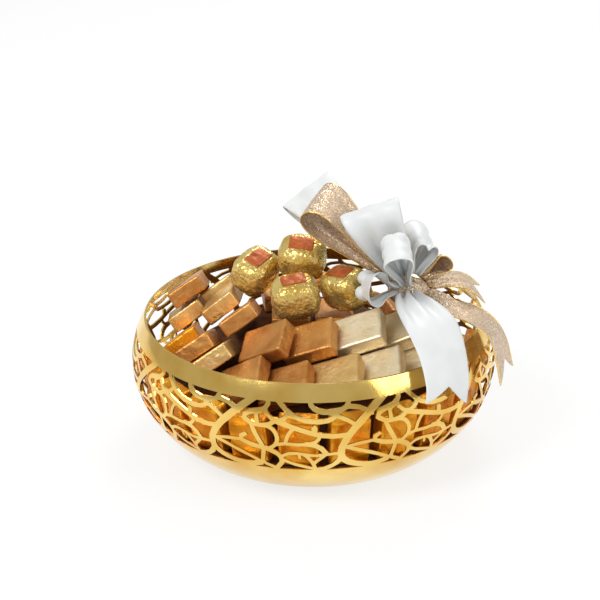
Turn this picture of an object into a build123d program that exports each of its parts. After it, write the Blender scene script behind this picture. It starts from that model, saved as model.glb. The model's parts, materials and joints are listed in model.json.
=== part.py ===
from build123d import *
import os
from math import atan2, cos, degrees, pi, radians, sin, sqrt

os.makedirs("parts", exist_ok=True)

# A pressed metal bowl with a cut openwork wall, filled with foil-wrapped chocolates
# and tied with a bow.  Millimetres, Z up, origin at the centre of the bowl's foot.
# The front of the bowl is -Y and bearings are degrees from the front toward +X.

# Bowl: one ellipse of revolution, cut flat at the foot and at the rim.
BOWL_RADIUS = 125.0
WALL_RISE = 81.5
EQUATOR_HEIGHT = 60.0
RIM_HEIGHT = 91.0
SHEET = 1.2
FOOT_ROUND = 16.0
BAND_FOOT = 30.5
BAND_HEIGHT = 50.0
REPEATS = 9
PATTERN_TURN = 0.0

# Fits between pieces.
CLEAR = 0.3

# Filler under the chocolates: a round tray with a cone on it.
LEDGE_HEIGHT = 30.0
CONE_FOOT_RADIUS = 88.0
CONE_TOP_RADIUS = 40.0
CONE_FOOT_HEIGHT = 56.0
CONE_TOP_HEIGHT = 84.0
CONE_SIDES = 24

# Foil-wrapped bars.
BAR_LENGTH = 36.0
BAR_WIDTH = 27.0
BAR_THICK = 12.5
BAR_EDGE = 1.0
FLAP_THICK = 0.4
FLAP_DEPTH = 0.42

# Bars standing round the wall.
RING_COUNT = 12
RING_FIRST = -88.0
RING_PITCH = 16.5
RING_LEAN = 12.0

# Truffles: a waisted twist of foil round a ball, with a paper label.
TRUFFLE_WIDTH = 29.0
TRUFFLE_LENGTH = 34.0
TRUFFLE_CORNER = 8.0
LABEL_LENGTH = 20.0
LABEL_WIDTH = 13.0
LABEL_THICK = 0.3

# Bow.
SATIN_WIDTH = 40.0
GLITTER_WIDTH = 35.0
RIBBON_THICK = 0.8
KNOT_X = 64.0
KNOT_Y = -17.0
KNOT_HEIGHT = 112.0
KNOT_LONG = 14.0
KNOT_ROUND = 11.0
KNOT_TURN = -8.0

# Openwork, one repeat: struts of a cut vine.  Each has its width in millimetres and
# its centre line as (degrees along the wall, millimetres above the plain foot band).
DRAWN_REPEAT = 41.0
STRUTS = [
    (4.8, [(22.0, 52), (18.5, 46), (14.8, 39.5), (11.8, 33), (9.5, 26.5), (8.0, 20), (7.7, 14.5),
           (8.6, 9.5), (11.2, 5.5), (14.5, 2.9), (18.5, 2.0), (23.5, 4.5)]),
    (3.6, [(7.7, 12.5), (7.2, 8.5), (5.8, 5.0), (3.0, 1.5), (0.0, 0.0)]),
    (2.7, [(8.3, 20.1), (12.5, 17.1), (17.0, 13.1), (20.5, 9.5), (23.6, 5.5)]),
    (2.2, [(8.3, 18.9), (11.0, 20.7), (14.0, 21.8), (17.5, 22.3)]),
    (3.4, [(19.4, 26.5), (18.1, 24.9), (17.9, 22.7), (19.2, 20.9), (21.6, 19.3), (25.0, 17.9)]),
    (2.9, [(21.2, 35.7), (22.3, 29.5), (23.8, 23.5), (24.9, 18.5), (24.9, 13.5), (24.4, 9.5),
           (24.5, 5.5), (26.5, 2.7), (28.6, -0.5)]),
    (3.6, [(23.0, 5.5), (21.5, 3.0), (18.5, 1.3)]),
    (2.7, [(25.8, 34.5), (28.0, 32.5), (29.2, 28.5), (29.3, 23.5), (28.0, 19.5), (25.2, 17.3)]),
    (3.4, [(25.6, 18.5), (28.2, 15.5), (30.2, 11.5), (30.4, 7.0), (29.2, 3.0), (28.2, -0.5)]),
    (2.3, [(30.2, 11.5), (31.8, 14.1), (35.5, 15.1), (39.0, 13.7), (43.5, 14.1)]),
    (2.5, [(37.2, 14.5), (38.8, 11.3), (39.9, 7.5), (40.6, 3.5), (41.2, -0.5)]),
    (2.6, [(44.2, 14.9), (43.0, 11.7), (41.2, 8.5), (40.2, 5.5)]),
    (2.2, [(43.5, 14.1), (49.0, 15.1)]),
    (2.5, [(30.6, 9.5), (33.0, 6.5), (36.5, 3.7), (41.5, 0.5)]),
    (1.8, [(35.8, 15.0), (36.1, 11.1)]),
    (2.4, [(29.0, 21.1), (31.5, 22.5), (35.0, 22.1), (38.0, 22.4), (41.0, 24.3), (42.3, 29.0)]),
    (3.6, [(38.0, 22.5), (41.0, 21.5), (43.0, 18.5), (44.2, 14.5)]),
    (2.4, [(31.8, 22.5), (32.4, 27.5), (34.4, 34.0)]),
    (3.3, [(28.0, 38.7), (30.5, 36.9), (34.0, 34.5), (38.0, 31.7), (42.0, 29.2), (46.0, 28.1),
           (50.5, 28.7)]),
    (3.6, [(40.5, 30.5), (40.7, 34.5)]),
    (3.0, [(18.9, 38.5), (20.8, 35.7), (24.0, 34.3), (26.6, 35.1), (28.6, 38.1)]),
    (3.1, [(29.2, 51.5), (31.6, 46.1), (34.4, 41.7), (38.0, 38.9), (41.0, 38.2), (44.6, 38.8),
           (47.2, 41.7)]),
    (2.6, [(28.6, 38.3), (31.2, 39.7), (32.8, 43.1)]),
    (3.1, [(39.2, 51.5), (40.2, 47.1), (42.8, 44.5), (46.6, 44.2), (50.0, 46.1), (51.4, 51.5)]),
    (2.6, [(45.4, 44.1), (48.0, 41.3), (50.4, 38.9), (53.0, 35.0)]),
    (2.6, [(50.0, 46.7), (53.6, 46.3), (56.6, 43.7), (58.4, 41.1)]),
    (3.2, [(26.4, 51.5), (26.0, 46.7), (24.0, 43.8), (21.0, 42.5), (19.4, 40.5), (19.0, 37.7)]),
    (2.6, [(24.0, 44.0), (22.9, 41.0), (23.2, 37.5), (23.4, 35.0)]),
    (2.6, [(25.4, 45.3), (26.2, 42.3), (27.4, 39.7), (28.8, 37.9)]),
]
STROKE_STEP = 3.0
CUT_TOLERANCE = 0.35
SMALLEST_CUT = 7.0
REACH = 60.0

# Loose bars: name, middle (x, y, height), bearing of the length from +X, climb of the
# length, climb of the width.  Each settles at the resting height nearest to its own.
BARS = [
    ("top_0", (14.0, -9.0, 91.0), 90.0, 0.0, 0.0),
    ("top_1", (-15.0, -9.0, 91.0), 90.0, 0.0, 0.0),
    ("top_2", (-22.0, 29.0, 91.0), 96.0, 0.0, 0.0),
    ("front_low_4", (73.0, -53.0, 80.0), -2.0, 22.0, 26.0),
    ("front_low_3", (42.0, -71.0, 81.0), -10.0, 22.0, 27.0),
    ("front_low_2", (14.5, -80.0, 80.0), -14.0, 22.0, 28.0),
    ("front_low_1", (-18.0, -83.0, 78.0), -17.0, 23.0, 30.0),
    ("front_low_0", (-46.5, -78.0, 76.0), -26.0, 31.0, 30.0),
    ("front_high_3", (62.0, -37.0, 96.0), -2.0, 22.0, 26.0),
    ("front_high_2", (30.0, -50.0, 95.0), -10.0, 22.0, 27.0),
    ("front_high_1", (-2.0, -56.0, 94.0), -15.0, 22.0, 28.0),
    ("front_high_0", (-31.0, -56.0, 90.0), -28.0, 28.0, 30.0),
    ("back_0", (-20.0, 66.0, 77.0), 107.0, -29.0, 0.0),
    ("back_1", (13.0, 66.0, 77.0), 78.0, -29.0, 0.0),
    ("back_2", (43.0, 50.0, 77.0), 48.0, -29.0, 0.0),
    ("back_3", (64.0, 16.0, 77.0), 14.0, -29.0, 0.0),
    ("side_low_1", (-65.0, -50.0, 82.0), -98.0, 20.0, 36.0),
    ("side_low_0", (-77.0, -35.0, 84.0), -98.0, 20.0, 36.0),
    ("side_wall", (-89.0, 4.0, 82.0), -92.0, 18.0, 36.0),
    ("side_mid_0", (-88.0, 33.0, 85.0), -88.0, 16.0, 34.0),
    ("side_high_0", (-49.0, -20.0, 94.0), -94.0, 18.0, 36.0),
    ("side_mid_1", (-62.0, 10.0, 95.0), -94.0, 9.0, 39.0),
    ("side_back_0", (-87.0, 37.0, 87.0), -92.0, 16.0, 34.0),
    ("side_back_1", (-65.0, 49.0, 94.0), -92.0, 20.0, 36.0),
]

# Truffles: name, middle, bearing of the length, climb of the length, roll.
TRUFFLES = [
    ("front", (-12.0, -26.0, 113.0), 9.0, 7.0, 9.0),
    ("right", (22.0, -16.0, 114.0), -44.0, 8.0, 18.0),
    ("left", (-39.0, 14.0, 115.0), 51.0, 13.0, 22.0),
    ("top", (-7.0, 6.0, 128.0), -9.0, -2.0, 24.0),
]

# Loops of the bow: name, tip from the knot, direction of the ribbon's width there,
# opening and ribbon width.
LOOPS = [
    ("white_loop_left", (-68.0, 66.0, 49.0), (0.80, 0.25, 0.55), 18.0, SATIN_WIDTH),
    ("glitter_loop_left", (-63.0, 16.0, 60.0), (0.42, 0.86, 0.26), 22.0, GLITTER_WIDTH),
    ("white_loop_front", (-27.0, -15.0, 65.0), (0.95, 0.05, 0.30), 17.0, SATIN_WIDTH),
    ("white_loop_mid", (-12.0, -45.0, 50.0), (-0.05, 0.95, 0.30), 17.0, SATIN_WIDTH * 0.65),
    ("white_loop_right", (10.0, 10.0, 36.0), (-0.15, 0.95, 0.22), 13.0, SATIN_WIDTH * 0.9),
    ("white_loop_low", (-30.0, -30.0, 16.0), (0.15, -0.95, 0.30), 16.0, SATIN_WIDTH * 0.7),
    ("glitter_loop_back", (-19.0, 38.0, 46.0), (0.97, 0.20, 0.10), 9.0, GLITTER_WIDTH * 0.6),
    ("glitter_loop_right", (20.0, 13.0, 19.0), (0.55, -0.80, 0.20), 12.0, GLITTER_WIDTH * 0.8),
]
LOOP_STATIONS = 13
LOOP_GAP = 2.0
FOOT_GAP = 1.2
GATHER = 0.26

# Tails of the bow: name, ribbon width, notch depth and stations, each with the middle of
# the ribbon and the direction of its width.
TAILS = [
    ("white_tail_front", SATIN_WIDTH, 14.0, [
        ((63.0, -38.0, 117.0), (0.8, 0.6, 0.0)), ((68.0, -56.0, 117.0), (0.8, 0.6, 0.05)),
        ((76.0, -73.0, 111.0), (0.75, 0.66, 0.0)), ((82.0, -87.0, 98.0), (0.73, 0.68, -0.02)),
        ((85.0, -96.0, 82.0), (0.73, 0.68, -0.1)), ((84.0, -101.0, 69.0), (0.74, 0.67, -0.33))]),
    ("glitter_tail_rim", GLITTER_WIDTH, 10.0, [
        ((80.0, -28.0, 112.0), (0.1, 1.0, 0.2)), ((94.0, -36.0, 107.0), (0.1, 1.0, 0.0)),
        ((108.0, -38.0, 102.0), (0.1, 1.0, 0.0)), ((119.0, -40.0, 93.0), (0.2, 0.98, 0.0)),
        ((125.0, -42.0, 79.0), (0.3, 0.95, 0.0)), ((129.0, -44.0, 61.0), (0.32, 0.94, 0.0))]),
    ("glitter_tail_short", GLITTER_WIDTH * 0.8, 8.0, [
        ((80.0, -13.0, 117.0), (0.0, 0.9, 0.4)), ((92.0, -9.0, 117.0), (0.0, 1.0, 0.1)),
        ((105.0, -6.0, 113.0), (0.0, 1.0, 0.0)), ((115.0, -5.0, 104.0), (0.0, 1.0, 0.0))]),
]


def wall_radius(height, inset=0.0):
    """Radius of the bowl's ellipse at a height, moved in by inset."""
    rise = (height - EQUATOR_HEIGHT) / (WALL_RISE - inset)
    return (BOWL_RADIUS - inset) * sqrt(1 - rise * rise)


def round_solid(inset, low, high, fillet_radius):
    """Solid bounded by the bowl's ellipse between two heights, rounded at its foot."""
    wide, tall = BOWL_RADIUS - inset, WALL_RISE - inset
    start = degrees(atan2((low - EQUATOR_HEIGHT) / tall, wall_radius(low, inset) / wide))
    stop = degrees(atan2((high - EQUATOR_HEIGHT) / tall, wall_radius(high, inset) / wide))
    with BuildPart() as made:
        with BuildSketch(Plane.XZ):
            with BuildLine():
                side = EllipticalCenterArc((0, EQUATOR_HEIGHT), wide, tall, start_angle=start,
                                           arc_size=stop - start)
                Polyline(side @ 1, (0, high), (0, low), side @ 0)
            make_face()
        revolve(axis=Axis.Z)
        fillet(made.edges().sort_by(Axis.Z)[0], fillet_radius)
    return made.part


MM_PER_DEGREE = BOWL_RADIUS * pi / 180
TILE_TURN = 360 / REPEATS
TILE_LENGTH = MM_PER_DEGREE * TILE_TURN
DRAWN_SCALE = TILE_LENGTH / DRAWN_REPEAT


def stroke(width, points):
    """Flat strut of even width along a centre line drawn on the unrolled wall."""
    spots = [(turn * DRAWN_SCALE, BAND_FOOT + rise) for turn, rise in points]
    line = Spline(*spots) if len(spots) > 2 else Line(*spots)
    count = max(2, round(line.length / STROKE_STEP))
    left, right = [], []
    for index in range(count + 1):
        spot = line @ (index / count)
        along = line % (index / count)
        across = Vector(-along.Y, along.X) * (width / 2)
        left.append(spot + across)
        right.append(spot - across)
    tip = line @ 1 + (line % 1) * (width / 2)
    tail = line @ 0 - (line % 0) * (width / 2)
    outline = left + [tip] + right[::-1] + [tail]
    return make_face(Polyline(*[(spot.X, spot.Y) for spot in outline], close=True))


def thin_out(run, tolerance):
    """Points of a run that its shape needs, within a tolerance."""
    first, last = run[0], run[-1]
    chord = last - first
    worst, place = tolerance, 0
    for index in range(1, len(run) - 1):
        offset = run[index] - first
        distance = abs(chord.X * offset.Y - chord.Y * offset.X) / max(chord.length, 1e-6)
        if distance > worst:
            worst, place = distance, index
    if place == 0:
        return [first, last]
    return thin_out(run[:place + 1], tolerance)[:-1] + thin_out(run[place:], tolerance)


def opening_outlines():
    """Outlines of the openings of one repeat, on the unrolled wall."""
    middle = (TILE_LENGTH / 2, BAND_FOOT + BAND_HEIGHT / 2)
    sheet = Pos(*middle) * Rectangle(2.4 * TILE_LENGTH, BAND_HEIGHT)
    strips = [Pos(shift * TILE_LENGTH, 0) * stroke(width, points)
              for shift in (-1, 0, 1) for width, points in STRUTS]
    outlines = []
    for cell in (sheet - strips).faces():
        if 0 <= cell.center().X < TILE_LENGTH and cell.area > SMALLEST_CUT:
            corners = [edge @ 0 for edge in cell.outer_wire().order_edges()]
            loop = corners + [corners[0]]
            far = max(range(len(corners)), key=lambda index: (corners[index] - corners[0]).length)
            outlines.append(thin_out(loop[:far + 1], CUT_TOLERANCE)[:-1]
                            + thin_out(loop[far:], CUT_TOLERANCE)[:-1])
    return outlines


def cutter(outline):
    """Bar that cuts one opening straight through the wall at its own bearing."""
    bearing = sum(spot.X for spot in outline) / len(outline) / MM_PER_DEGREE
    corners = []
    for spot in outline:
        turn = radians(spot.X / MM_PER_DEGREE - bearing)
        corners.append((wall_radius(spot.Y) * sin(turn), spot.Y))
    flat = make_face(Polyline(*corners, close=True))
    start = Plane(origin=(0, REACH - BOWL_RADIUS - 10, 0), x_dir=(1, 0, 0), z_dir=(0, -1, 0))
    return Rot(0, 0, bearing) * extrude(start * flat, REACH)


def make_bowl():
    """Thin pressed bowl with the vine openwork cut nine times round its wall."""
    shell = round_solid(0, 0, RIM_HEIGHT, FOOT_ROUND)
    shell -= round_solid(SHEET, SHEET, RIM_HEIGHT + SHEET, FOOT_ROUND - SHEET)
    middle_low = (Align.NONE, Align.NONE, Align.MIN)
    wedge = Cylinder(BOWL_RADIUS + 10, RIM_HEIGHT + 10, arc_size=TILE_TURN, align=middle_low)
    sector = shell & (Rot(0, 0, -90) * wedge)
    cuts = [cutter(outline) for outline in opening_outlines()]
    near = [Rot(0, 0, side * TILE_TURN) * cut for side in (-1, 0, 1) for cut in cuts]
    sector -= near
    copies = [Rot(0, 0, PATTERN_TURN + index * TILE_TURN) * sector for index in range(REPEATS)]
    return copies[0] + copies[1:]


def make_filler():
    """Tray that follows the bowl's inside, and the many-sided cone on it."""
    inset = SHEET + CLEAR
    tray = round_solid(inset, inset, LEDGE_HEIGHT, FOOT_ROUND - inset)
    return tray


def make_cone():
    """Cone of the filler: flat sides, so that bars lie on it."""
    foot = Plane.XY.offset(LEDGE_HEIGHT) * RegularPolygon(CONE_FOOT_RADIUS, CONE_SIDES)
    waist = Plane.XY.offset(CONE_FOOT_HEIGHT) * RegularPolygon(CONE_FOOT_RADIUS, CONE_SIDES)
    top = Plane.XY.offset(CONE_TOP_HEIGHT) * RegularPolygon(CONE_TOP_RADIUS, CONE_SIDES)
    column = loft([foot.face(), waist.face()], ruled=True)
    return column, loft([waist.face(), top.face()], ruled=True)


class Hull:
    """Corners, edges and bounding planes of a convex solid, for letting pieces down."""

    def __init__(self, solid):
        self.corners = [vertex.center() for vertex in solid.vertices()]
        self.edges = [(edge @ 0, edge @ 1) for edge in solid.edges()]
        self.planes = [(face.normal_at(), face.center()) for face in solid.faces()]
        box = solid.bounding_box()
        self.low, self.high = box.min, box.max

    def span(self, x, y):
        """Lowest and highest height of the solid over a spot, or None beside it."""
        low, high = -1e9, 1e9
        for normal, point in self.planes:
            level = normal.X * (point.X - x) + normal.Y * (point.Y - y)
            if abs(normal.Z) < 1e-6:
                if level < -1e-6:
                    return None
            elif normal.Z > 0:
                high = min(high, point.Z + level / normal.Z)
            else:
                low = max(low, point.Z + level / normal.Z)
        return (low, high) if low <= high else None

    def apart(self, other):
        """True if the two solids are side by side, seen from above."""
        return (self.low.X > other.high.X or other.low.X > self.high.X
                or self.low.Y > other.high.Y or other.low.Y > self.high.Y)


def drop(upper, lower):
    """How far the upper hull can fall before it meets the lower one."""
    best = 1e9
    if upper.apart(lower):
        return best
    for corner in upper.corners:
        span = lower.span(corner.X, corner.Y)
        if span:
            best = min(best, corner.Z - span[1])
    for corner in lower.corners:
        span = upper.span(corner.X, corner.Y)
        if span:
            best = min(best, span[0] - corner.Z)
    for a, b in upper.edges:
        for c, d in lower.edges:
            cross = (b.X - a.X) * (d.Y - c.Y) - (b.Y - a.Y) * (d.X - c.X)
            if abs(cross) > 1e-9:
                t = ((c.X - a.X) * (d.Y - c.Y) - (c.Y - a.Y) * (d.X - c.X)) / cross
                s = ((c.X - a.X) * (b.Y - a.Y) - (c.Y - a.Y) * (b.X - a.X)) / cross
                if 0 <= t <= 1 and 0 <= s <= 1:
                    best = min(best, a.Z + t * (b.Z - a.Z) - c.Z - s * (d.Z - c.Z))
    return best


def settle(solid, outer, placed):
    """Moves a solid up or down, by its plain outer block, to its nearest resting height."""
    hull = Hull(outer)
    blocked = [(drop(other, hull) - CLEAR, CLEAR - drop(hull, other)) for other in placed
               if not hull.apart(other)]
    rests = [high for _, high in blocked
             if all(high <= other_low or high >= other_high for other_low, other_high in blocked)]
    move = Pos(0, 0, min(rests, key=abs))
    placed.append(Hull(move * outer))
    return move * solid


def make_bar():
    """Foil-wrapped bar, long in X, with the folded flaps of the foil on both ends."""
    body = Box(BAR_LENGTH - 2 * FLAP_THICK, BAR_WIDTH, BAR_THICK)
    body = chamfer(body.edges(), BAR_EDGE)
    half_width = BAR_WIDTH / 2 - BAR_EDGE
    half_thick = BAR_THICK / 2 - BAR_EDGE
    fold = Polyline((-half_width, half_thick), (half_width, half_thick),
                    (0, half_thick - 2 * half_thick * FLAP_DEPTH * 2), close=True)
    flap = extrude(make_face(fold), FLAP_THICK)
    right = Plane(origin=(BAR_LENGTH / 2 - FLAP_THICK, 0, 0), x_dir=(0, 1, 0), z_dir=(1, 0, 0))
    left = Plane(origin=(FLAP_THICK - BAR_LENGTH / 2, 0, 0), x_dir=(0, -1, 0), z_dir=(-1, 0, 0))
    return body + right * flap + left * flap


def lay(middle, bearing, climb, side_climb):
    """Placement of a piece: length along the bearing and climbing, then tipped sideways."""
    return Pos(*middle) * Rot(0, 0, bearing) * Rot(0, -climb, 0) * Rot(side_climb, 0, 0)


def make_truffle():
    """Wrapped truffle: a block with wide bevels, drawn in toward both ends."""
    block = Box(TRUFFLE_LENGTH, TRUFFLE_WIDTH, TRUFFLE_WIDTH)
    return chamfer(block.edges(), TRUFFLE_CORNER)


def make_label():
    """Paper label on the top of a truffle."""
    lift = TRUFFLE_WIDTH / 2 + LABEL_THICK / 2
    length = min(LABEL_LENGTH, TRUFFLE_LENGTH - 2 * TRUFFLE_CORNER)
    width = min(LABEL_WIDTH, TRUFFLE_WIDTH - 2 * TRUFFLE_CORNER - 1)
    return Pos(0, 0, lift) * Box(length, width, LABEL_THICK)


KNOT = Vector(KNOT_X, KNOT_Y, KNOT_HEIGHT)
KNOT_AXIS = Vector(cos(radians(KNOT_TURN)), sin(radians(KNOT_TURN)), 0)


def knot_reach(direction):
    """Distance from the knot's middle to its surface along a direction."""
    share = direction.dot(KNOT_AXIS) ** 2
    return 1 / sqrt(share / KNOT_LONG ** 2 + (1 - share) / KNOT_ROUND ** 2)


def strip(stations, notch=0.0):
    """Ribbon through stations of middle, width direction and width, in flat triangles."""
    rings = []
    for index, (middle, across, width) in enumerate(stations):
        before = stations[max(index - 1, 0)][0]
        after = stations[min(index + 1, len(stations) - 1)][0]
        along = (after - before).normalized()
        half = (across - along * across.dot(along)).normalized() * (width / 2)
        lift = along.cross(half).normalized() * (RIBBON_THICK / 2)
        rings.append([middle - half - lift, middle + half - lift,
                      middle + half + lift, middle - half + lift])
    faces = [Face(Wire.make_polygon(rings[0])), Face(Wire.make_polygon(rings[-1]))]
    for ring, following in zip(rings, rings[1:]):
        for index in range(4):
            a, b = ring[index], ring[(index + 1) % 4]
            c, d = following[(index + 1) % 4], following[index]
            faces += [Face(Wire.make_polygon([a, b, c])), Face(Wire.make_polygon([a, c, d]))]
    band = Solid(Shell(faces))
    if notch > 0:
        last, across, width = stations[-1]
        back = (stations[-2][0] - last).normalized()
        side = (across - back * across.dot(back)).normalized()
        plane = Plane(origin=last, x_dir=side, z_dir=side.cross(back))
        tip = Polyline((-width * 0.42, -2), (width * 0.42, -2), (0, notch), close=True)
        band -= extrude(plane * make_face(tip), 4, both=True)
    return band


def make_loop(tip, across, opening, width):
    """Loop of ribbon that leaves the knot, opens like a drop and comes back."""
    length = Vector(*tip).length
    out = Vector(*tip).normalized()
    open_way = out.cross(Vector(*across)).normalized()
    start = knot_reach(out) + FOOT_GAP
    stations = []
    for index in range(LOOP_STATIONS):
        share = index / (LOOP_STATIONS - 1)
        swell = sin(pi * share)
        forward = start + (length - start) * swell ** 0.85
        sideways = opening / 2 * sin(2 * pi * share) * swell ** 0.6 + LOOP_GAP * cos(pi * share)
        middle = KNOT + out * forward + open_way * sideways
        ribbon = width * (GATHER + (1 - GATHER) * swell ** 0.7)
        stations.append((middle, Vector(*across), ribbon))
    return strip(stations)


def make_tail(width, notch, spots):
    """Tail of ribbon from the knot's surface to its notched end."""
    first, across = spots[0]
    out = (Vector(*first) - KNOT).normalized()
    foot = KNOT + out * (knot_reach(out) + CLEAR + RIBBON_THICK / 2)
    stations = [(foot, Vector(*across), width * GATHER)]
    for index, (middle, across) in enumerate(spots):
        stations.append((Vector(*middle), Vector(*across), width * min(1, 0.45 + 0.3 * index)))
    return strip(stations, notch)


pieces = {}
pieces["bowl"] = make_bowl()
pieces["filler_tray"] = make_filler()
column, cone = make_cone()
column = Pos(0, 0, CLEAR) * column
cone = Pos(0, 0, CLEAR) * cone
pieces["filler_cone"] = column + cone

ledge = extrude(Plane.XY.offset(LEDGE_HEIGHT) * RegularPolygon(BOWL_RADIUS, CONE_SIDES), -5)
placed = [Hull(ledge), Hull(column), Hull(cone)]

bar = make_bar()
bar_block = Box(BAR_LENGTH, BAR_WIDTH, BAR_THICK)
bar_block = chamfer(bar_block.edges(), BAR_EDGE)
foot_inside = wall_radius(LEDGE_HEIGHT, SHEET + CLEAR)
ring_radius = sqrt(foot_inside ** 2 - (BAR_WIDTH / 2) ** 2) - BAR_THICK / 2
ring_radius += BAR_LENGTH / 2 * sin(radians(RING_LEAN)) - 1
ring_height = LEDGE_HEIGHT + BAR_LENGTH / 2
upright = Plane(origin=(0, 0, 0), x_dir=(0, 0, 1), z_dir=(0, 1, 0)).location
for index in range(RING_COUNT):
    bearing = RING_FIRST + index * RING_PITCH
    place = Rot(0, 0, bearing) * Pos(0, -ring_radius, ring_height) * Rot(RING_LEAN, 0, 0) * upright
    pieces[f"wall_bar_{index}"] = settle(place * bar, place * bar_block, placed)

for name, *pose in BARS:
    place = lay(*pose)
    pieces[f"bar_{name}"] = settle(place * bar, place * bar_block, placed)

truffle = make_truffle()
label = make_label()
for name, *pose in TRUFFLES:
    place = lay(*pose)
    both = settle(Compound([place * truffle, place * label]), place * truffle, placed)
    solids = both.solids().sort_by(SortBy.VOLUME)
    pieces[f"truffle_{name}"] = solids[-1]
    pieces[f"truffle_{name}_label"] = solids[0]

knot = Sphere(KNOT_ROUND)
knot = scale(knot, by=(KNOT_LONG / KNOT_ROUND, 1, 1))
pieces["glitter_knot"] = Pos(*KNOT) * Rot(0, 0, KNOT_TURN) * knot
for name, *shape in LOOPS:
    pieces[name] = make_loop(*shape)
for name, width, notch, spots in TAILS:
    pieces[name] = make_tail(width, notch, spots)

for name, piece in pieces.items():
    export_step(piece, f"parts/{name}.step")
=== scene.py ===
"""Looks of a gold openwork bowl of foil-wrapped chocolates with a ribbon bow, in metres."""

import json
import math

import bmesh
import bpy
import numpy as np
from mathutils import Euler, Matrix, Vector, noise

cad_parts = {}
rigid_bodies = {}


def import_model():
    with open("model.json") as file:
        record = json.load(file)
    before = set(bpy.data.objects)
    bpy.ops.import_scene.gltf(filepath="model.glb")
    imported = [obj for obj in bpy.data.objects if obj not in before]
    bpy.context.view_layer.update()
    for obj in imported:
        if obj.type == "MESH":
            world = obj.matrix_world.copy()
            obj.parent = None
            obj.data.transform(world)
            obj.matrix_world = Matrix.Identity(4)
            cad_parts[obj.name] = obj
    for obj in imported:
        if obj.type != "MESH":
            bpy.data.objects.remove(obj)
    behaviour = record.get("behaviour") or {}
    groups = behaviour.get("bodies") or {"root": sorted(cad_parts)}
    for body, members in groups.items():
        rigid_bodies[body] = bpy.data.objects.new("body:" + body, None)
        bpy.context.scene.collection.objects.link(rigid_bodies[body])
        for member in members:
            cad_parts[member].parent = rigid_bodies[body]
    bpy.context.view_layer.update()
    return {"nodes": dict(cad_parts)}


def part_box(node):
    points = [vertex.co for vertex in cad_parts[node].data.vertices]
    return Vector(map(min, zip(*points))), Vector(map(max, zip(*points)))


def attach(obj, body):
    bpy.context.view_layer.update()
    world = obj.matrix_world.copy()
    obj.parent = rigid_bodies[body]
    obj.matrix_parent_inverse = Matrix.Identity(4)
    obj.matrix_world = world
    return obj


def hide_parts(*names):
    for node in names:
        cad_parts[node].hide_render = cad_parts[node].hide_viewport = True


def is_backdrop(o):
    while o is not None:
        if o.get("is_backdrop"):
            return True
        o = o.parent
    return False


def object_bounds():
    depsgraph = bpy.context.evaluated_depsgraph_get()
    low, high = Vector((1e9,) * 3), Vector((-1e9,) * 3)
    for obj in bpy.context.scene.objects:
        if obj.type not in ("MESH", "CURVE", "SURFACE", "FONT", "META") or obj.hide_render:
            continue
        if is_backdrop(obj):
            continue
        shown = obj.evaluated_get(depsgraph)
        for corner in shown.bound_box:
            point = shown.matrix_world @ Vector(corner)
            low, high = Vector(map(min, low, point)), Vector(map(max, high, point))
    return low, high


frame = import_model()
nodes = frame["nodes"]
body_of = {name: members.parent.name[len("body:"):] for name, members in nodes.items()}
MM = 0.001

# Bars and truffles, as in the model, in millimetres.
BAR = (36.0, 27.0, 12.5)
BAR_CELLS = (24, 22, 12)
BAR_ROUND = 1.3
TRUFFLE = (34.0, 29.0, 29.0)
LABEL = (18.0, 12.0)

# Bow, as in the model, in millimetres.
SATIN_WIDTH = 40.0
GLITTER_WIDTH = 35.0
KNOT = Vector((64.0, -17.0, 112.0))
KNOT_LONG = 14.0
KNOT_ROUND = 11.0
KNOT_TURN = -8.0
GATHER = 0.26
FOOT_GAP = 1.2
LOOP_GAP = 2.0
RIBBON_THICK = 0.35
LOOPS = [
    ("white_loop_left", (-68.0, 66.0, 49.0), (0.80, 0.25, 0.55), 18.0, SATIN_WIDTH),
    ("glitter_loop_left", (-63.0, 16.0, 60.0), (0.42, 0.86, 0.26), 22.0, GLITTER_WIDTH),
    ("white_loop_front", (-27.0, -15.0, 65.0), (0.95, 0.05, 0.30), 17.0, SATIN_WIDTH),
    ("white_loop_mid", (-12.0, -45.0, 50.0), (-0.05, 0.95, 0.30), 17.0, SATIN_WIDTH * 0.65),
    ("white_loop_right", (10.0, 10.0, 36.0), (-0.15, 0.95, 0.22), 13.0, SATIN_WIDTH * 0.9),
    ("white_loop_low", (-30.0, -30.0, 16.0), (0.15, -0.95, 0.30), 16.0, SATIN_WIDTH * 0.7),
    ("glitter_loop_back", (-19.0, 38.0, 46.0), (0.97, 0.20, 0.10), 9.0, GLITTER_WIDTH * 0.6),
    ("glitter_loop_right", (20.0, 13.0, 19.0), (0.55, -0.80, 0.20), 12.0, GLITTER_WIDTH * 0.8),
]
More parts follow.
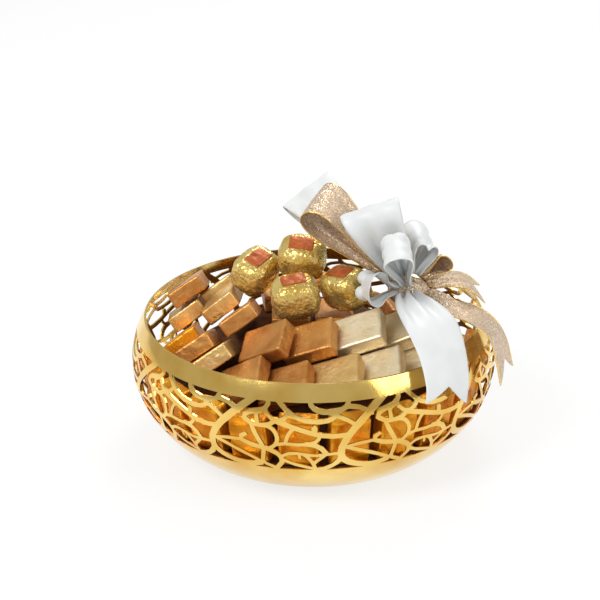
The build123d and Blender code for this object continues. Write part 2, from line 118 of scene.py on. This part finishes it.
TAILS = [
    ("white_tail_front", SATIN_WIDTH, 14.0, [
        ((63.0, -38.0, 117.0), (0.8, 0.6, 0.0)), ((68.0, -56.0, 117.0), (0.8, 0.6, 0.05)),
        ((76.0, -73.0, 111.0), (0.75, 0.66, 0.0)), ((82.0, -87.0, 98.0), (0.73, 0.68, -0.02)),
        ((85.0, -96.0, 82.0), (0.73, 0.68, -0.1)), ((84.0, -101.0, 69.0), (0.74, 0.67, -0.33))]),
    ("glitter_tail_rim", GLITTER_WIDTH, 10.0, [
        ((80.0, -28.0, 112.0), (0.1, 1.0, 0.2)), ((94.0, -36.0, 107.0), (0.1, 1.0, 0.0)),
        ((108.0, -38.0, 102.0), (0.1, 1.0, 0.0)), ((119.0, -40.0, 93.0), (0.2, 0.98, 0.0)),
        ((125.0, -42.0, 79.0), (0.3, 0.95, 0.0)), ((129.0, -44.0, 61.0), (0.32, 0.94, 0.0))]),
    ("glitter_tail_short", GLITTER_WIDTH * 0.8, 8.0, [
        ((80.0, -13.0, 117.0), (0.0, 0.9, 0.4)), ((92.0, -9.0, 117.0), (0.0, 1.0, 0.1)),
        ((105.0, -6.0, 113.0), (0.0, 1.0, 0.0)), ((115.0, -5.0, 104.0), (0.0, 1.0, 0.0))]),
]


def colour(red, green, blue):
    """Linear colour of an sRGB one given from 0 to 255."""
    parts = [value / 255 for value in (red, green, blue)]
    return [part / 12.92 if part < 0.04045 else ((part + 0.055) / 1.055) ** 2.4 for part in parts] + [1]


class Paint:
    """A node material that is built step by step."""

    def __init__(self, name, **settings):
        self.material = bpy.data.materials.new(name)
        self.material.use_nodes = True
        self.tree = self.material.node_tree
        self.shader = self.tree.nodes["Principled BSDF"]
        for socket, value in settings.items():
            self.shader.inputs[socket.replace("_", " ")].default_value = value
        self.place = self.node("ShaderNodeTexCoord").outputs["Object"]

    def node(self, kind, **settings):
        made = self.tree.nodes.new(kind)
        for name, value in settings.items():
            setattr(made, name, value)
        return made

    def link(self, start, end):
        self.tree.links.new(start, end)

    def noise(self, scale, detail=3.0, stretch=None):
        made = self.node("ShaderNodeTexNoise")
        made.inputs["Scale"].default_value = scale
        made.inputs["Detail"].default_value = detail
        place = self.place
        if stretch:
            mapping = self.node("ShaderNodeMapping")
            mapping.inputs["Scale"].default_value = stretch
            self.link(place, mapping.inputs["Vector"])
            place = mapping.outputs["Vector"]
        self.link(place, made.inputs["Vector"])
        return made.outputs["Fac"]

    def cells(self, scale, feature="F1"):
        made = self.node("ShaderNodeTexVoronoi", feature=feature)
        made.inputs["Scale"].default_value = scale
        self.link(self.place, made.inputs["Vector"])
        return made

    def ramp(self, value, stops):
        made = self.node("ShaderNodeValToRGB")
        points = made.color_ramp.elements
        while len(points) < len(stops):
            points.new(0.5)
        for point, (place, tint) in zip(points, stops):
            point.position = place
            point.color = tint
        self.link(value, made.inputs["Fac"])
        return made.outputs["Color"]

    def tint(self, value, stops):
        self.link(self.ramp(value, stops), self.shader.inputs["Base Color"])

    def rough(self, value, low, high):
        made = self.node("ShaderNodeMapRange")
        made.inputs["To Min"].default_value = low
        made.inputs["To Max"].default_value = high
        self.link(value, made.inputs["Value"])
        self.link(made.outputs["Result"], self.shader.inputs["Roughness"])

    def bump(self, value, depth, strength=1.0, after=None):
        made = self.node("ShaderNodeBump")
        made.inputs["Distance"].default_value = depth
        made.inputs["Strength"].default_value = strength
        self.link(value, made.inputs["Height"])
        if after:
            self.link(after, made.inputs["Normal"])
        self.link(made.outputs["Normal"], self.shader.inputs["Normal"])
        return made.outputs["Normal"]


def gold_material():
    paint = Paint("gold_plate", Metallic=1.0)
    paint.tint(paint.noise(30), [(0.3, colour(226, 180, 84)), (0.7, colour(250, 218, 132))])
    paint.rough(paint.noise(160), 0.07, 0.2)
    paint.bump(paint.noise(700, 2), 0.00004)
    return paint.material


def foil_material(name, dark, light, rough, crinkle):
    """Foil over chocolate: metal sheen, colour that varies from fold to fold, fine creases."""
    paint = Paint(name, Metallic=0.72)
    paint.tint(paint.noise(65, 4), [(0.25, colour(*dark)), (0.75, colour(*light))])
    paint.rough(paint.noise(420), rough, rough + 0.22)
    creases = paint.cells(260, "DISTANCE_TO_EDGE").outputs["Distance"]
    first = paint.bump(paint.ramp(creases, [(0.0, (0, 0, 0, 1)), (0.25, (1, 1, 1, 1))]), crinkle, 0.5)
    paint.bump(paint.noise(900, 5), crinkle * 0.5, 0.6, first)
    return paint.material


def satin_material():
    paint = Paint("satin", Roughness=0.42, Sheen_Weight=0.4, Sheen_Roughness=0.35)
    paint.tint(paint.noise(28), [(0.3, colour(206, 209, 208)), (0.7, colour(224, 226, 225))])
    first = paint.bump(paint.noise(2600, 2, (1, 1, 0.15)), 0.00004, 0.5)
    paint.bump(paint.noise(45, 2), 0.0006, 0.3, first)
    return paint.material


def glitter_material():
    paint = Paint("glitter", Metallic=0.55, Roughness=0.38)
    flakes = paint.cells(1900)
    shine = paint.node("ShaderNodeSeparateColor")
    paint.link(flakes.outputs["Color"], shine.inputs["Color"])
    paint.tint(shine.outputs["Red"], [(0.0, colour(176, 142, 106)), (0.6, colour(219, 194, 164)),
                                      (0.93, colour(238, 220, 196)), (1.0, colour(255, 250, 238))])
    shift = paint.node("ShaderNodeVectorMath", operation="MULTIPLY_ADD")
    paint.link(flakes.outputs["Color"], shift.inputs[0])
    shift.inputs[1].default_value = (0.9, 0.9, 0.9)
    shift.inputs[2].default_value = (-0.45, -0.45, -0.45)
    add = paint.node("ShaderNodeVectorMath", operation="ADD")
    paint.link(shift.outputs["Vector"], add.inputs[0])
    paint.link(paint.node("ShaderNodeNewGeometry").outputs["Normal"], add.inputs[1])
    even = paint.node("ShaderNodeVectorMath", operation="NORMALIZE")
    paint.link(add.outputs["Vector"], even.inputs[0])
    paint.link(even.outputs["Vector"], paint.shader.inputs["Normal"])
    return paint.material


# Filler card in dark brown: the dark brown is painted shade, standing in for the shade under and between
# the bars.
def card_painted_shade_material():
    paint = Paint("filler_card", Roughness=0.85)
    paint.tint(paint.noise(120, 5), [(0.3, colour(70, 38, 14)), (0.7, colour(112, 66, 26))])
    paint.bump(paint.noise(1500, 4), 0.0001)
    return paint.material


def label_material():
    paint = Paint("label_paper", Metallic=0.25, Roughness=0.4)
    paint.tint(paint.noise(150, 4), [(0.3, colour(160, 72, 18)), (0.7, colour(196, 100, 34))])
    paint.bump(paint.noise(1400, 3), 0.00006)
    return paint.material


COPPER = foil_material("foil_copper", (178, 112, 48), (224, 166, 92), 0.26, 0.0002)
HONEY = foil_material("foil_honey", (206, 158, 84), (244, 212, 146), 0.24, 0.0002)
# Cream foil: the same foil painted pale as a painted highlight, for front bars whose faces catch the light.
CREAM_PAINTED_HIGHLIGHT = foil_material("foil_cream", (232, 208, 158), (255, 242, 212), 0.28, 0.00015)
# Amber foil: foil colour with a painted reflection of the gold bowl wall, for the bars beside the wall.
AMBER_PAINTED_REFLECTION = foil_material("foil_amber", (222, 132, 10), (250, 184, 40), 0.24, 0.0002)
# End foil: the folded ends painted paler than the sides, a painted highlight where the ends face the light;
# the stronger creases are real.
END_PAINTED_HIGHLIGHT = foil_material("foil_end", (206, 178, 104), (246, 230, 170), 0.2, 0.00035)
BRIGHT = foil_material("foil_bright", (196, 150, 50), (246, 228, 150), 0.16, 0.0004)
GOLD = gold_material()
SATIN = satin_material()
GLITTER = glitter_material()
LABEL_PAPER = label_material()


def set_material(thing, *materials):
    thing.data.materials.clear()
    for material in materials:
        thing.data.materials.append(material)


def new_piece(name, mesh, materials, node):
    """Object in place of a CAD node, on that node's body."""
    piece = bpy.data.objects.new(name, mesh)
    bpy.context.scene.collection.objects.link(piece)
    set_material(piece, *materials)
    for face in mesh.polygons:
        face.use_smooth = True
    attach(piece, body_of[node])
    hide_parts(node)
    return piece


def axes_of(node):
    """Middle of a block-shaped node and its axes, longest first, from its largest faces."""
    mesh = nodes[node].data
    groups = []
    for face in mesh.polygons:
        for group in groups:
            if abs(group[0].dot(face.normal)) > 0.9995:
                group[1] += face.area
                break
        else:
            groups.append([face.normal.copy(), face.area])
    groups.sort(key=lambda group: -group[1])
    up = groups[0][0]
    side = groups[1][0]
    low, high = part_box(node)
    turn = Matrix((side.cross(up), side, up)).transposed()
    return Matrix.Translation((low + high) / 2) @ turn.to_4x4()


def fold_height(across, up):
    """Rise of the folded flaps on a bar's end, for a spot from -1 to 1 both ways."""
    top = 1 - abs(across) * 0.98
    if up > 1 - 1.75 * top:
        return 0.55
    if up < -0.35 and abs(across) < 0.5 - 0.3 * up:
        return 0.28
    return 0.0


def bar_mesh(name, seed):
    """Foil-wrapped bar: rounded block with folded ends, dents and creases."""
    counts = BAR_CELLS
    half = [size / 2 - 0.45 for size in BAR]
    made = bmesh.new()
    spots = {}

    def spot(key):
        if key not in spots:
            place = [(2 * step / count - 1) for step, count in zip(key, counts)]
            point = Vector([share * size for share, size in zip(place, half)])
            core = Vector([max(-size + BAR_ROUND, min(size - BAR_ROUND, value))
                           for value, size in zip(point, half)])
            out = point - core
            if out.length > 1e-6:
                point = core + out.normalized() * BAR_ROUND
            here = point + Vector((seed * 37.0, seed * 11.0, 0))
            near = noise.voronoi(here * 0.13)[0]
            crease = min(0.5, near[1] - near[0])
            dent = noise.fractal(here * 0.16, 1.0, 2.0, 3)
            normal = out.normalized() if out.length > 1e-6 else Vector((0, 0, 1))
            on_end = abs(place[0]) > 0.999
            point += normal * ((0.55 if on_end else 0.22) * (dent * 0.6 + crease - 0.35))
            if on_end:
                point.x += math.copysign(fold_height(place[1], place[2]) - 0.3, place[0])
            limit = [size / 2 + 0.3 for size in BAR]
            point = Vector([max(-edge, min(edge, value)) for value, edge in zip(point, limit)])
            spots[key] = made.verts.new(point * MM)
        return spots[key]

    for axis in range(3):
        first, second = [other for other in range(3) if other != axis]
        for end in (0, counts[axis]):
            for i in range(counts[first]):
                for j in range(counts[second]):
                    ring = []
                    for di, dj in ((0, 0), (1, 0), (1, 1), (0, 1)):
                        key = [0, 0, 0]
                        key[axis], key[first], key[second] = end, i + di, j + dj
                        ring.append(spot(tuple(key)))
                    face = made.faces.new(ring)
                    face.material_index = 1 if axis == 0 else 0
    bmesh.ops.recalc_face_normals(made, faces=made.faces)
    mesh = bpy.data.meshes.new(name)
    made.to_mesh(mesh)
    made.free()
    return mesh


def truffle_point(direction, seed, lift=0.0):
    """Spot on a wrapped truffle along a direction from its middle, in millimetres."""
    power = 3.2
    total = sum(abs(part / (size / 2 - 0.6)) ** power for part, size in zip(direction, TRUFFLE))
    point = direction / total ** (1 / power)
    here = point * 0.11 + Vector((seed * 13.0, seed * 7.0, seed))
    near = noise.voronoi(here)[0]
    wave = noise.fractal(here * 2.2, 1.0, 2.0, 3)
    fine = noise.voronoi(here * 2.6)[0]
    size = 1 + 0.055 * (near[1] - near[0]) + 0.02 * wave + 0.02 * (fine[1] - fine[0]) - 0.035
    return point * min(size, 1.05) + direction.normalized() * lift


def truffle_mesh(name, seed):
    made = bmesh.new()
    bmesh.ops.create_icosphere(made, subdivisions=6, radius=1)
    for vert in made.verts:
        vert.co = truffle_point(vert.co.normalized(), seed) * MM
    mesh = bpy.data.meshes.new(name)
    made.to_mesh(mesh)
    made.free()
    return mesh


def label_mesh(name, seed):
    """Label laid on the truffle's top, following its surface."""
    made = bmesh.new()
    across, along = 16, 24
    layers = []
    for lift in (0.15, 0.5):
        grid = []
        for i in range(along + 1):
            row = []
            for j in range(across + 1):
                spot = Vector((LABEL[0] * (i / along - 0.5), LABEL[1] * (j / across - 0.5), TRUFFLE[2] / 2))
                row.append(made.verts.new(truffle_point(spot.normalized(), seed, lift) * MM))
            grid.append(row)
        layers.append(grid)
    for grid in layers:
        for i in range(along):
            for j in range(across):
                made.faces.new((grid[i][j], grid[i + 1][j], grid[i + 1][j + 1], grid[i][j + 1]))
    edge = [(i, 0) for i in range(along)] + [(along, j) for j in range(across)]
    edge += [(i, across) for i in range(along, 0, -1)] + [(0, j) for j in range(across, 0, -1)]
    for (i, j), (k, l) in zip(edge, edge[1:] + edge[:1]):
        made.faces.new((layers[0][i][j], layers[0][k][l], layers[1][k][l], layers[1][i][j]))
    bmesh.ops.recalc_face_normals(made, faces=made.faces)
    mesh = bpy.data.meshes.new(name)
    made.to_mesh(mesh)
    made.free()
    return mesh


def knot_reach(direction):
    """Distance from the knot's middle to its surface along a direction."""
    axis = Vector((math.cos(math.radians(KNOT_TURN)), math.sin(math.radians(KNOT_TURN)), 0))
    share = direction.dot(axis) ** 2
    return 1 / math.sqrt(share / KNOT_LONG ** 2 + (1 - share) / KNOT_ROUND ** 2)


def ribbon_piece(name, spots, acrosses, widths, full, material, slot_name, notch=0.0):
    """Ribbon through spots, with pleats where it is drawn in."""
    columns = 24
    count = len(spots)
    length = sum((b - a).length for a, b in zip(spots, spots[1:]))
    frames = []
    for index in range(count):
        along = (spots[min(index + 1, count - 1)] - spots[max(index - 1, 0)]).normalized()
        across = (acrosses[index] - along * acrosses[index].dot(along)).normalized()
        frames.append((across, along.cross(across)))
    mesh = bpy.data.meshes.new(name)
    made = bmesh.new()
    grid = []
    for index in range(count):
        row = []
        for column in range(columns + 1):
            u = 2 * column / columns - 1
            cut = 1 - notch / length * (1 - abs(u))
            place = index * cut
            before = min(int(place), count - 2)
            part = place - before
            middle = spots[before].lerp(spots[before + 1], part)
            across = frames[before][0].lerp(frames[before + 1][0], part)
            out = frames[before][1].lerp(frames[before + 1][1], part)
            width = widths[before] * (1 - part) + widths[before + 1] * part
            drawn = min(1.0, width / full)
            deep = 0.12 * full * math.sqrt(max(0.0, 1 - drawn)) * math.cos(2.5 * math.pi * u)
            crown = 0.04 * full * drawn * (1 - u * u)
            point = middle + across * (u * width / 2) + out * (deep * 0.6 + crown * 0.5)
            row.append(made.verts.new(point * MM))
        grid.append(row)
    for index in range(count - 1):
        for column in range(columns):
            made.faces.new((grid[index][column], grid[index + 1][column],
                            grid[index + 1][column + 1], grid[index][column + 1]))
    area = sum(face.calc_area() for face in made.faces)
    made.to_mesh(mesh)
    made.free()
    piece = new_piece(name + "_ribbon", mesh, [material], name)
    thick = piece.modifiers.new("thickness", "SOLIDIFY")
    thick.thickness = RIBBON_THICK * MM
    thick.offset = 0
    if slot_name == "glitter":
        for side, column in (("a", 0), ("b", columns)):
            edge = bpy.data.curves.new(f"{name}_edge_{side}", "CURVE")
            edge.dimensions = "3D"
            edge.bevel_depth = 0.45 * MM
            edge.bevel_resolution = 3
            line = edge.splines.new("POLY")
            line.points.add(count - 1)
            for index in range(count):
                line.points[index].co = (*mesh.vertices[index * (columns + 1) + column].co, 1)
            wire = bpy.data.objects.new(f"{name}_edge_{side}", edge)
            bpy.context.scene.collection.objects.link(wire)
            wire.data.materials.append(GOLD)
            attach(wire, body_of[name])
    return piece


def loop_piece(name, tip, across, opening, width):
    """Loop that leaves the knot, opens like a drop and comes back."""
    steps = 72
    tip = Vector(tip)
    across = Vector(across)
    out = tip.normalized()
    open_way = out.cross(across).normalized()
    start = knot_reach(out) + FOOT_GAP
    spots, widths = [], []
    for index in range(steps + 1):
        share = index / steps
        swell = max(0.0, math.sin(math.pi * share))
        forward = start + (tip.length - start) * swell ** 0.85
        sideways = opening / 2 * math.sin(2 * math.pi * share) * swell ** 0.6
        sideways += LOOP_GAP * math.cos(math.pi * share)
        spots.append(KNOT + out * forward + open_way * sideways)
        widths.append(width * (GATHER + (1 - GATHER) * swell ** 0.7))
    kind = "glitter" if name.startswith("glitter") else "satin"
    material = GLITTER if kind == "glitter" else SATIN
    return ribbon_piece(name, spots, [across] * (steps + 1), widths, width, material, kind)


def smooth_run(values, share):
    """Value at a share of a run, on a smooth curve through the values."""
    place = share * (len(values) - 1)
    index = min(int(place), len(values) - 2)
    t = place - index
    a = values[max(index - 1, 0)]
    b, c = values[index], values[index + 1]
    d = values[min(index + 2, len(values) - 1)]
    return 0.5 * (b * 2 + (c - a) * t + (a * 2 - b * 5 + c * 4 - d) * t ** 2
                  + (b * 3 - c * 3 + d - a) * t ** 3)


def tail_piece(name, width, notch, stations):
    first = Vector(stations[0][0])
    out = (first - KNOT).normalized()
    foot = KNOT + out * (knot_reach(out) + 0.7)
    spots = [foot] + [Vector(middle) for middle, _ in stations]
    acrosses = [Vector(stations[0][1])] + [Vector(across) for _, across in stations]
    widths = [width * GATHER] + [width * min(1, 0.45 + 0.3 * i) for i in range(len(stations))]
    steps = 60
    shares = [index / steps for index in range(steps + 1)]
    kind = "glitter" if name.startswith("glitter") else "satin"
    material = GLITTER if kind == "glitter" else SATIN
    return ribbon_piece(name, [smooth_run(spots, share) for share in shares],
                        [smooth_run(acrosses, share) for share in shares],
                        [smooth_run(widths, share) for share in shares],
                        width, material, kind, notch)


# Bowl and filler keep their CAD shapes.
set_material(nodes["bowl"], GOLD)
for face in nodes["bowl"].data.polygons:
    face.use_smooth = True
nodes["bowl"].data.set_sharp_from_angle(angle=math.radians(30))
# The filler gets the dark brown card, painted shade below the bars.
painted_shade_card = card_painted_shade_material()
for name in ("filler_tray", "filler_cone"):
    set_material(nodes[name], painted_shade_card)

# Chocolates.
# Front bars painted cream: painted highlight on bars whose faces catch the light.
lit_bars_painted_pale = {"bar_front_low_3", "bar_front_low_4", "bar_front_high_2", "bar_front_high_3"}
honey = {"bar_front_low_2", "bar_side_low_1", "bar_side_mid_0", "bar_side_back_1", "bar_side_mid_1"}
for seed, name in enumerate(sorted(nodes)):
    # Bars beside the wall take the amber foil, a painted reflection of the gold wall, on sides and ends.
    if name.startswith("wall_bar") or name == "bar_side_wall":
        tint = AMBER_PAINTED_REFLECTION
    elif name in lit_bars_painted_pale:
        tint = CREAM_PAINTED_HIGHLIGHT
    elif name in honey:
        tint = HONEY
    else:
        tint = COPPER
    if name.startswith(("wall_bar", "bar_")):
        mesh = bar_mesh(name + "_wrap", seed)
        mesh.transform(axes_of(name))
        # End faces take the paler end foil, a painted highlight, except on the bars beside the wall.
        new_piece(name + "_wrap", mesh, [tint, END_PAINTED_HIGHLIGHT if tint != AMBER_PAINTED_REFLECTION else AMBER_PAINTED_REFLECTION], name)
    elif name.startswith("truffle") and not name.endswith("label"):
        turn = axes_of(name + "_label").to_3x3().to_4x4()
        low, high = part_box(name)
        label_low, label_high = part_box(name + "_label")
        if (turn @ Vector((0, 0, 1))).dot((label_low + label_high) - (low + high)) < 0:
            turn = turn @ Matrix.Rotation(math.pi, 4, "X")
        place = Matrix.Translation((low + high) / 2) @ turn
        mesh = truffle_mesh(name + "_wrap", seed)
        mesh.transform(place)
        new_piece(name + "_wrap", mesh, [BRIGHT], name)
        paper = label_mesh(name + "_paper", seed)
        paper.transform(place)
        new_piece(name + "_paper", paper, [LABEL_PAPER], name + "_label")

# Bow.
for loop in LOOPS:
    loop_piece(*loop)
for tail in TAILS:
    tail_piece(*tail)

knot_mesh = bpy.data.meshes.new("knot_wrap")
wrap = bmesh.new()
bmesh.ops.create_icosphere(wrap, subdivisions=6, radius=1)
for vert in wrap.verts:
    way = vert.co.normalized()
    pleat = 0.05 * math.sin(9 * math.atan2(way.z, way.y)) * (1 - way.x ** 2)
    waist = 1 - 0.10 * (1 - way.x ** 2) + pleat * 0.6
    vert.co = Vector((way.x * KNOT_LONG, way.y * KNOT_ROUND * waist, way.z * KNOT_ROUND * waist)) * MM
wrap.to_mesh(knot_mesh)
wrap.free()
knot_mesh.transform(Matrix.Translation(KNOT * MM) @ Matrix.Rotation(math.radians(KNOT_TURN), 4, "Z"))
new_piece("knot_wrap", knot_mesh, [GLITTER], "glitter_knot")

# Stage, lights and camera.
scene = bpy.context.scene
scene.view_settings.view_transform = "Standard"


def seen_white(material, shader_socket, strength, share):
    """Mixes plain white in for what the camera sees, directly or mirrored."""
    tree = material.node_tree
    path = tree.nodes.new("ShaderNodeLightPath")
    glow = tree.nodes.new("ShaderNodeEmission")
    glow.inputs["Strength"].default_value = strength
    both = tree.nodes.new("ShaderNodeMath")
    both.operation = "MAXIMUM"
    tree.links.new(path.outputs["Is Camera Ray"], both.inputs[0])
    tree.links.new(path.outputs["Is Glossy Ray"], both.inputs[1])
    third = tree.nodes.new("ShaderNodeMath")
    third.operation = "MAXIMUM"
    tree.links.new(both.outputs[0], third.inputs[0])
    tree.links.new(path.outputs["Is Transmission Ray"], third.inputs[1])
    part = tree.nodes.new("ShaderNodeMath")
    part.operation = "MULTIPLY"
    part.inputs[1].default_value = share
    tree.links.new(third.outputs[0], part.inputs[0])
    mix = tree.nodes.new("ShaderNodeMixShader")
    tree.links.new(part.outputs[0], mix.inputs[0])
    tree.links.new(shader_socket, mix.inputs[1])
    tree.links.new(glow.outputs["Emission"], mix.inputs[2])
    return mix.outputs[0]


bpy.ops.mesh.primitive_plane_add(size=12, location=(0, 0, -0.0005))
floor = bpy.context.object
floor.name = "floor"
ground = bpy.data.materials.new("floor")
ground.use_nodes = True
base = ground.node_tree.nodes["Principled BSDF"]
base.inputs["Base Color"].default_value = (0.93, 0.93, 0.93, 1)
base.inputs["Roughness"].default_value = 0.9
output = ground.node_tree.nodes["Material Output"]
ground.node_tree.links.new(seen_white(ground, base.outputs["BSDF"], 1.0, 0.75), output.inputs["Surface"])
floor.data.materials.append(ground)
floor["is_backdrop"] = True

world = bpy.data.worlds.new("studio")
scene.world = world
world.use_nodes = True
shade = world.node_tree.nodes["Background"]
shade.inputs["Color"].default_value = (1, 1, 1, 1)
path = world.node_tree.nodes.new("ShaderNodeLightPath")
lift = world.node_tree.nodes.new("ShaderNodeMapRange")
lift.inputs["To Min"].default_value = 0.55
lift.inputs["To Max"].default_value = 1.0
world.node_tree.links.new(path.outputs["Is Camera Ray"], lift.inputs["Value"])
world.node_tree.links.new(lift.outputs["Result"], shade.inputs["Strength"])


def lamp(name, power, size, place, target=(0, 0, 0.08)):
    light = bpy.data.lights.new(name, "AREA")
    light.energy = power
    light.size = size
    made = bpy.data.objects.new(name, light)
    scene.collection.objects.link(made)
    made.location = place
    made.rotation_euler = (Vector(target) - Vector(place)).to_track_quat("-Z", "Y").to_euler()
    return made


lamp("key", 16, 0.7, (-0.9, -0.8, 1.3))
lamp("fill", 7, 0.9, (1.1, -0.7, 0.9))
lamp("back", 9, 0.6, (0.3, 1.1, 1.2))

camera_data = bpy.data.cameras.new("camera")
camera_data.sensor_width = 36
camera_data.lens = 112.45
camera = bpy.data.objects.new("camera", camera_data)
scene.collection.objects.link(camera)
camera.location = (-0.00893, -1.17584, 0.60744)
look = Euler((math.radians(90 - 23.39), 0, 0)).to_matrix() @ Matrix.Rotation(-0.0116, 3, "Z")
camera.rotation_euler = look.to_euler()
scene.camera = camera

low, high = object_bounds()
